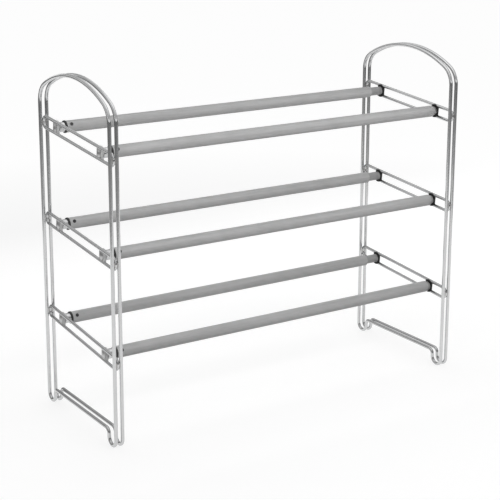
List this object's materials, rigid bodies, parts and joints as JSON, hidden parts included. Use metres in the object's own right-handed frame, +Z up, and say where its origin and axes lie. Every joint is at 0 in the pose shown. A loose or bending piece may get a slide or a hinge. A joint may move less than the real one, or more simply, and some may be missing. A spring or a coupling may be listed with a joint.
{
  "type": "extendable shoe rack",
  "caption": "Free-standing shoe rack: arched chrome wire end frames joined by telescopic tube rails, so the rack pulls out sideways; the shelves slant down to the front.",
  "frame": {"origin": "on the floor, midway between the two end frames and midway in depth, with the rack closed", "axes": "+Z up, +X from the left frame to the right frame and the way the right half pulls out, the front is -Y"},
  "size_m": [0.627, 0.2294, 0.5307],
  "materials": {
    "chrome_wire": "bright chrome plate on round wire",
    "weld_metal": "small fillets, plated over",
    "inner_tube_chrome": "bright chrome plate",
    "outer_tube_satin": "satin silver grey, fine marks along the tube",
    "left_clip_plastic": "light grey, moulded",
    "right_clip_plastic": "black, moulded",
    "button_steel": "satin grey, low domed head",
    "bush_plastic": "black, moulded",
    "guide_plastic": "black, moulded",
    "ferrule_plastic": "mid grey, turned",
    "rivet_steel": "dark, low round head"
  },
  "bodies": {
    "left_half": {"left_hoop_outer": "chrome_wire", "left_hoop_inner": "chrome_wire", "left_shelf_loop_bottom": "chrome_wire", "left_shelf_loop_middle": "chrome_wire", "left_shelf_loop_top": "chrome_wire", "left_welds": "weld_metal", "left_buttons": "button_steel", "left_clip_bottom_front": "left_clip_plastic", "left_clip_bottom_rear": "left_clip_plastic", "left_clip_middle_front": "left_clip_plastic", "left_clip_middle_rear": "left_clip_plastic", "left_clip_top_front": "left_clip_plastic", "left_clip_top_rear": "left_clip_plastic", "inner_tube_bottom_front": "inner_tube_chrome", "inner_tube_bottom_rear": "inner_tube_chrome", "inner_tube_middle_front": "inner_tube_chrome", "inner_tube_middle_rear": "inner_tube_chrome", "inner_tube_top_front": "inner_tube_chrome", "inner_tube_top_rear": "inner_tube_chrome", "guide_plug_bottom_front": "guide_plastic", "guide_plug_bottom_rear": "guide_plastic", "guide_plug_middle_front": "guide_plastic", "guide_plug_middle_rear": "guide_plastic", "guide_plug_top_front": "guide_plastic", "guide_plug_top_rear": "guide_plastic"},
    "right_half": {"right_hoop_outer": "chrome_wire", "right_hoop_inner": "chrome_wire", "right_shelf_loop_bottom": "chrome_wire", "right_shelf_loop_middle": "chrome_wire", "right_shelf_loop_top": "chrome_wire", "right_welds": "weld_metal", "right_buttons": "button_steel", "right_clip_bottom_front": "right_clip_plastic", "right_clip_bottom_rear": "right_clip_plastic", "right_clip_middle_front": "right_clip_plastic", "right_clip_middle_rear": "right_clip_plastic", "right_clip_top_front": "right_clip_plastic", "right_clip_top_rear": "right_clip_plastic", "outer_tube_bottom_front": "outer_tube_satin", "outer_tube_bottom_rear": "outer_tube_satin", "outer_tube_middle_front": "outer_tube_satin", "outer_tube_middle_rear": "outer_tube_satin", "outer_tube_top_front": "outer_tube_satin", "outer_tube_top_rear": "outer_tube_satin", "mouth_bush_bottom_front": "bush_plastic", "mouth_bush_bottom_rear": "bush_plastic", "mouth_bush_middle_front": "bush_plastic", "mouth_bush_middle_rear": "bush_plastic", "mouth_bush_top_front": "bush_plastic", "mouth_bush_top_rear": "bush_plastic", "end_ferrule_bottom_front": "ferrule_plastic", "end_ferrule_bottom_rear": "ferrule_plastic", "end_ferrule_middle_front": "ferrule_plastic", "end_ferrule_middle_rear": "ferrule_plastic", "end_ferrule_top_front": "ferrule_plastic", "end_ferrule_top_rear": "ferrule_plastic", "stop_rivets": "rivet_steel"}
  },
  "joints": [
    {"name": "pull_out", "type": "slide", "parent": "left_half", "child": "right_half", "axis": [1, 0, 0], "range_m": [0, 0.5]}
  ]
}
